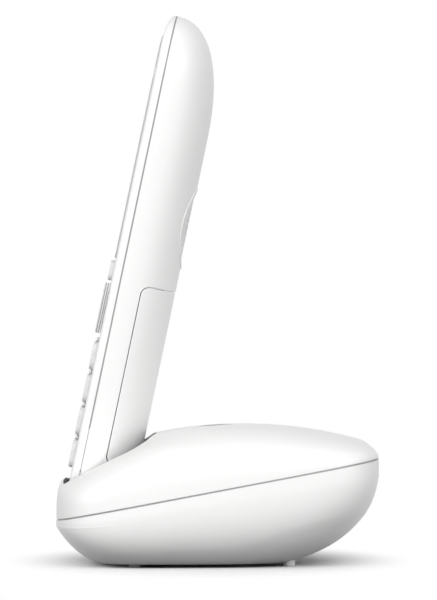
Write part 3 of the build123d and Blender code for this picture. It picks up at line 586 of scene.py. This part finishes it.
# Handset: battery cover's ledge, bead round the grille, band over the seam, trim bars and key ribs

def arch_reach(angle):
    """Reach of the rear shell's superellipse at an arch angle, in shares of its half axes."""
    total = np.abs(np.cos(angle)) ** REAR_ARCH + np.abs(np.sin(angle)) ** REAR_ARCH
    return total ** (-1 / REAR_ARCH)


def rear_place(angle, up, inset):
    """A place on the straight part of the rear shell's superellipse, drawn in by an inset."""
    across = (HANDSET_HALF - inset) * np.cos(angle) * arch_reach(angle)
    depth = REAR_START + (REAR_DEPTH - inset) * np.sin(angle) * arch_reach(angle)
    return on_handset(across, depth, up)


def rear_angle(depth):
    """The arch angle at which the rear shell lies at a depth, by halving."""
    def below(angle):
        return REAR_START + REAR_DEPTH * np.sin(angle) * arch_reach(angle) < depth
    return halve(below, np.zeros_like(depth), np.full_like(depth, math.pi / 2))


def make_cover_ledge():
    """A step in the battery cover's gap: a strip up one side, across the top and down the other.

    Each row is the gap's line shifted towards the cover's middle and drawn in from the surface.
    """
    side_rows, corner_rows, over_rows = 40, 13, 60
    edge, step, top, root = -0.1, 0.28, 0.4, 1.5
    corner = np.linspace(0, math.pi / 2, corner_rows)
    side_up = np.linspace(COVER_BOTTOM, COVER_TOP - COVER_CORNER, side_rows)[:-1]
    turn = np.concatenate([np.zeros_like(side_up), corner])
    depth = COVER_LINE + COVER_CORNER * (1 - np.cos(turn))
    up = np.concatenate([side_up, COVER_TOP - COVER_CORNER * (1 - np.sin(corner))])
    last = rear_angle(depth[-1:])[0]
    over = np.linspace(last, math.pi - last, over_rows)[1:-1]
    rows = []
    for shift, inset in ((step, root), (step, top), (edge, top)):
        angle = rear_angle(depth + shift * np.cos(turn))
        height = up - shift * np.sin(turn)
        angles = np.concatenate([angle, over, math.pi - angle[::-1]])
        heights = np.concatenate([height, 0 * over + height[-1], height[::-1]])
        rows.append(rear_place(angles, heights, inset))
    sheet = Sheet()
    sheet.join(sheet.add(np.stack(rows)), closed=False)
    sheet.make("battery_cover_ledge", "handset", "white_shell")


def make_grille_ring():
    """A thin bead round the grille: a half round carried along a circle on the rear shell."""
    columns, rows = 160, 13
    gap, half_width, height, tuck = 0.75, 0.45, 0.3, 0.15
    turn = np.linspace(0, 2 * math.pi, columns, endpoint=False)
    swing = np.linspace(-tuck, math.pi + tuck, rows)[:, None]
    radius = GRILLE_RADIUS + gap - half_width * np.cos(swing)
    lift = height * np.sin(swing)
    x, up = radius * np.cos(turn), GRILLE_UP + radius * np.sin(turn)
    back = REAR_DEPTH * ease(np.abs(x) / HANDSET_HALF, REAR_ARCH)
    sheet = Sheet()
    sheet.join(sheet.add(on_handset(x, REAR_START + back + lift, up)))
    sheet.make("grille_bead", "handset", "white_shell")


def make_seam_band():
    """A band of painted shade just over the handset's seam: up one side, over the tip and down the
    other.
    """
    side_rows, tip_rows = 60, 60
    proud, half_height, tip_room = 0.05, 0.25, 0.1
    tip_up = HANDSET_LENGTH - TIP_RISE
    turn = np.linspace(0, math.pi / 2, tip_rows)
    up = np.concatenate([np.linspace(HANDSET_CORNER, tip_up, side_rows)[:-1],
                         tip_up + (TIP_RISE + proud) * np.sin(turn)])
    half = HANDSET_HALF * ease((up - tip_up) / (TIP_RISE + tip_room), TIP_POWER) + proud
    across, up = np.concatenate([half, -half[::-1]]), np.concatenate([up, up[::-1]])
    depth = HANDSET_SEAM + np.array([half_height, -half_height])[:, None]
    sheet = Sheet()
    sheet.join(sheet.add(on_handset(across, depth, up)), closed=False)
    # Painted shade: a flat dark grey where the seam's gap reads dark
    sheet.make("handset_seam_band", "handset", "white_shell", PAINTED_SHADE)


def make_trim(side, label):
    """A straight bar beside a call key: a section carried up, drawn in a little at both ends.

    The section is a bevelled rectangle with two grooves in its outer side, their floors painted
    dark grey as shade.
    """
    outer, inner, front, back, bevel = 22.5, 21.5, -1.4, 0.3, 0.15
    groove, groove_width, slant = 0.15, 0.3, 0.02
    start, end, taper, drawn_in = 54.8, 71.6, 0.3, 0.8
    section, shaded = [(outer, back)], []
    for depth in (-0.05, -0.75):
        shaded.append(len(section) + 1)
        section += [(outer, depth), (outer - groove, depth - slant),
                    (outer - groove, depth - groove_width + slant), (outer, depth - groove_width)]
    section += [(outer, front + bevel), (outer - bevel, front), (inner + bevel, front),
                (inner, front + bevel), (inner, back)]
    section = np.array(section)
    middle = section.mean(0)
    up = np.array([start, start + taper, end - taper, end])[:, None]
    share = np.array([drawn_in, 1.0, 1.0, drawn_in])[:, None]
    across, depth = (middle[axis] + (section[:, axis] - middle[axis]) * share for axis in (0, 1))
    sheet = Sheet()
    numbers = sheet.add(on_handset(side * across, depth, up))
    dark = np.zeros((len(up) - 1, len(section)), bool)
    dark[:, shaded] = True
    if side > 0:
        numbers = numbers[::-1]
    sheet.join(numbers, keep=~dark)
    sheet.ends(numbers)
    # The grooves' floors get the flat dark grey of painted shade
    sheet.paint_shade()
    sheet.join(numbers, keep=dark)
    sheet.make(f"call_key_trim_{label}", "handset", "bright_metal", TRIM_GREY)


def make_rib(number):
    """A low rounded rib across the panel, above a row of number keys, lower at both ends."""
    half_height, half_width, front, back = 0.5, 20.6, -0.62, 0.2
    crest, taper, lowered = 0.3, 0.4, 0.6
    up = KEY_UP + (number + 0.5) * ROW_STEP
    swing = np.linspace(0, math.pi, 9)
    height = np.concatenate([[half_height], half_height * np.cos(swing), [-half_height]])
    depth = np.concatenate([[back], front + crest - crest * np.sin(swing), [back]])
    across = np.array([-half_width, -half_width + taper, half_width - taper, half_width])[:, None]
    share = np.array([lowered, 1.0, 1.0, lowered])[:, None]
    sheet = Sheet()
    numbers = sheet.add(on_handset(across, back + (depth - back) * share, up + height * share))
    sheet.join(numbers)
    sheet.ends(numbers)
    sheet.make(f"keypad_rib_{number + 1}", "handset", "key_plastic")


for rib in range(4):
    make_rib(rib)
for side, label in SIDES:
    make_trim(side, label)

make_cover_ledge()
make_grille_ring()
make_seam_band()


# Marks on the keys

def letter_piece(name, body, words, height, across, up):
    """Letters as a thin mesh, set flat on the face of a number key by their place across and up."""
    half_thick = 0.012
    curve = bpy.data.curves.new(name, "FONT")
    curve.body = words
    curve.size = height
    curve.align_x, curve.align_y = "CENTER", "CENTER"
    curve.extrude = half_thick
    curve.resolution_u = 3
    holder = bpy.data.objects.new(name + "_drawn", curve)
    mesh = bpy.data.meshes.new_from_object(holder)
    flat = np.empty(3 * len(mesh.vertices))
    mesh.vertices.foreach_get("co", flat)
    flat = flat.reshape(-1, 3)
    depth = NUMBER_FACE - half_thick - flat[:, 2]
    placed = on_handset(across + flat[:, 0], depth, up + flat[:, 1]) / 1000
    mesh.vertices.foreach_set("co", placed.ravel())
    mesh.update()
    bpy.data.objects.remove(holder)
    mesh.name = name
    place_piece(mesh, name, body, "dark_plastic", KEY_PRINT)


DIGIT_SIZE, DIGIT_SHIFT = 5.2, 2.1
LETTER_SIZE, LETTER_SHIFT, LETTER_DROP = 2.2, 2.6, 0.6
KEY_LETTERS = {"2": "ABC", "3": "DEF", "4": "GHI", "5": "JKL", "6": "MNO", "7": "PQRS",
               "8": "TUV", "9": "WXYZ"}
KEY_SIGNS = {"star": "*", "hash": "#"}
KEY_ROWS = [("star", "0", "hash"), ("7", "8", "9"), ("4", "5", "6"), ("1", "2", "3")]
for row, names in enumerate(KEY_ROWS):
    for column, key in enumerate(names):
        key_body, letters = f"key_{key}", KEY_LETTERS.get(key)
        key_x, key_up = (column - 1) * COLUMN_STEP, KEY_UP + row * ROW_STEP
        digit_x = key_x - DIGIT_SHIFT if letters else key_x
        letter_piece(f"{key_body}_digit", key_body, KEY_SIGNS.get(key, key), DIGIT_SIZE,
                     digit_x, key_up)
        if letters:
            letter_piece(f"{key_body}_letters", key_body, letters, LETTER_SIZE,
                         key_x + LETTER_SHIFT, key_up - LETTER_DROP)


def flat_piece(name, body, loops, front, finish):
    """Flat marks of even thickness: each loop of across and up places becomes a thin plate."""
    half_thick = 0.03
    sheet = Sheet()
    for loop in loops:
        root, face = (on_handset(loop[:, 0], front + half, loop[:, 1])
                      for half in (half_thick, -half_thick))
        numbers = sheet.add(np.stack([root, face]))
        sheet.join(numbers)
        sheet.ends(numbers)
    sheet.make(name, body, "dark_plastic", finish)


def turned(points, turn):
    """Places in a plane, turned about their origin."""
    cos, sin = math.cos(turn), math.sin(turn)
    return points @ np.array([[cos, sin], [-sin, cos]])


def receiver_loop(across, up, turn):
    """A telephone receiver: an arc band that swells at both ends, turned about its middle."""
    radius, drop, reach = 3.5, 2.6, math.radians(62)
    slim, swelling, shoulder, steepness = 0.42, 0.75, 0.68, 26
    step = np.linspace(-1, 1, 33)
    half_thick = slim + swelling / (1 + np.exp(-(np.abs(step) - shoulder) * steepness))

    def arc(size):
        return np.stack([size * np.sin(step * reach), size * np.cos(step * reach) - drop], -1)

    loop = np.concatenate([arc(radius)[::-1], arc(radius - 2 * half_thick)])
    return np.array([across, up]) + turned(loop, turn)


def box_loop(across, up, width, height):
    """A rectangle about its middle, counted the way round that faces the front."""
    sides = np.array([[-1, -1], [1, -1], [1, 1], [-1, 1]]) / 2
    return np.array([across, up]) + sides * np.array([width, height])


def arrow_loop(turn):
    """A small triangle on the four-way ring, turned about the ring's middle."""
    half_width, root, tip = 0.75, 5.7, 6.8
    points = np.array([[-half_width, root], [half_width, root], [0.0, tip]])
    return np.array([0, NAV_UP]) + turned(points, turn)


talk_loop = receiver_loop(-CALL_X, NAV_UP, math.radians(50))
end_loop = receiver_loop(CALL_X, NAV_UP, 0.0)
arrow_loops = [arrow_loop(quarter * math.pi / 2) for quarter in range(4)]
flat_piece("talk_key_mark", "talk_key", [talk_loop], CALL_FACE, TALK_PRINT)
flat_piece("end_key_mark", "end_key", [end_loop], CALL_FACE, END_PRINT)
flat_piece("nav_ring_marks", "nav_ring", arrow_loops, RING_FACE, KEY_PRINT)
for side, label in SIDES:
    bar_loop = box_loop(side * SOFT_X, SOFT_UP, 6.0, 0.8)
    flat_piece(f"soft_key_{label}_mark", f"soft_key_{label}", [bar_loop], SOFT_FACE, KEY_PRINT)


# Studio, in metres: camera as in the photo, a pale floor and soft light

def make_camera():
    """A long lens, level with the middle of the phone, that looks at its side."""
    data = bpy.data.cameras.new("camera")
    data.lens = 280.8
    data.sensor_fit = "VERTICAL"
    data.sensor_height = 36.0
    camera = add_object("camera", data)
    camera.location = (1.56, 0.00033, 0.0877)
    camera.rotation_euler = (math.radians(90), 0, math.radians(90))
    bpy.context.scene.camera = camera


def seen_ray(tree):
    """1 for rays from the camera, a mirror or glass, 0 for light on the object."""
    path = tree.nodes.new("ShaderNodeLightPath").outputs
    plain = math_node(tree, "MAXIMUM", path["Is Camera Ray"], path["Is Glossy Ray"])
    return math_node(tree, "MAXIMUM", plain, path["Is Transmission Ray"])


def blend_shaders(tree, share, first, second):
    """Mixes two shaders by a share."""
    mix = tree.nodes.new("ShaderNodeMixShader")
    tree.links.new(share, mix.inputs[0])
    tree.links.new(first.outputs[0], mix.inputs[1])
    tree.links.new(second.outputs[0], mix.inputs[2])
    return mix


def make_world(level):
    """White to the camera, and an even soft light on the object."""
    world = bpy.data.worlds.new("studio_world")
    bpy.context.scene.world = world
    world.use_nodes = True
    tree = world.node_tree
    light, backdrop = tree.nodes["Background"], tree.nodes.new("ShaderNodeBackground")
    for background, strength in ((light, level), (backdrop, 1.0)):
        background.inputs["Color"].default_value = (1, 1, 1, 1)
        background.inputs["Strength"].default_value = strength
    both = blend_shaders(tree, seen_ray(tree), light, backdrop)
    tree.links.new(both.outputs[0], tree.nodes["World Output"].inputs["Surface"])


def plain_diffuse(tree, level):
    """A matt grey of one level."""
    matt = tree.nodes.new("ShaderNodeBsdfDiffuse")
    matt.inputs["Color"].default_value = (level, level, level, 1)
    return matt


def make_floor(half_x, half_y, middle_x, middle_y, white):
    """A pale sheet that keeps the object's shadow and fades to white outside an oval.

    White is where the fade ends, in half axes of the oval. Light that the floor throws back
    at the object comes from a darker grey than the camera sees.
    """
    half, seen_grey, thrown_grey = 6.0, 0.96, 0.22
    corners = [(-half, -half, 0), (half, -half, 0), (half, half, 0), (-half, half, 0)]
    mesh = bpy.data.meshes.new("studio_floor")
    mesh.from_pydata(corners, [], [(0, 1, 2, 3)])
    floor = add_object("studio_floor", mesh)
    material = bpy.data.materials.new("pale_floor")
    material.use_nodes = True
    tree = material.node_tree
    tree.nodes.remove(tree.nodes["Principled BSDF"])
    place = tree.nodes.new("ShaderNodeTexCoord")
    oval = tree.nodes.new("ShaderNodeMapping")
    oval.inputs["Location"].default_value = (-middle_x / half_x, -middle_y / half_y, 0)
    oval.inputs["Scale"].default_value = (1 / half_x, 1 / half_y, 0)
    tree.links.new(place.outputs["Object"], oval.inputs["Vector"])
    length = tree.nodes.new("ShaderNodeVectorMath")
    length.operation = "LENGTH"
    tree.links.new(oval.outputs["Vector"], length.inputs[0])
    fade = tree.nodes.new("ShaderNodeMapRange")
    fade.interpolation_type = "SMOOTHSTEP"
    fade.inputs["From Min"].default_value = 1.0
    fade.inputs["From Max"].default_value = white
    tree.links.new(length.outputs["Value"], fade.inputs["Value"])
    glow = tree.nodes.new("ShaderNodeEmission")
    seen = blend_shaders(tree, fade.outputs["Result"], plain_diffuse(tree, seen_grey), glow)
    both = blend_shaders(tree, seen_ray(tree), plain_diffuse(tree, thrown_grey), seen)
    tree.links.new(both.outputs[0], tree.nodes["Material Output"].inputs["Surface"])
    mesh.materials.append(material)


def soft_lamp(name, place, aim, width, height, power):
    """A rectangular area lamp that looks at aim."""
    data = bpy.data.lights.new(name, "AREA")
    data.shape = "RECTANGLE"
    data.size, data.size_y, data.energy = width, height, power
    lamp = add_object(name, data)
    lamp.location = place
    reach = [b - a for a, b in zip(place, aim)]
    tilt = math.atan2(math.hypot(reach[0], reach[1]), -reach[2])
    lamp.rotation_euler = (tilt, 0, math.atan2(reach[1], reach[0]) - math.pi / 2)


make_camera()
make_world(level=0.27)
make_floor(half_x=0.05, half_y=0.033, middle_x=-0.015, middle_y=-0.003, white=2.15)
soft_lamp("side_light", (1.4, -0.08, 0.76), (0, 0, 0.08), width=3.6, height=0.7, power=28.5)
soft_lamp("top_light", (0.0, 0.0, 1.25), (0, 0, 0.05), width=0.9, height=0.9, power=0.2)
soft_lamp("rear_fill", (0.8, 1.1, 0.3), (0, 0, 0.08), width=0.9, height=0.9, power=6.0)
soft_lamp("front_fill", (0.8, -1.1, 0.3), (0, 0, 0.06), width=0.9, height=0.9, power=5.5)
bpy.context.scene.view_settings.view_transform = "Standard"
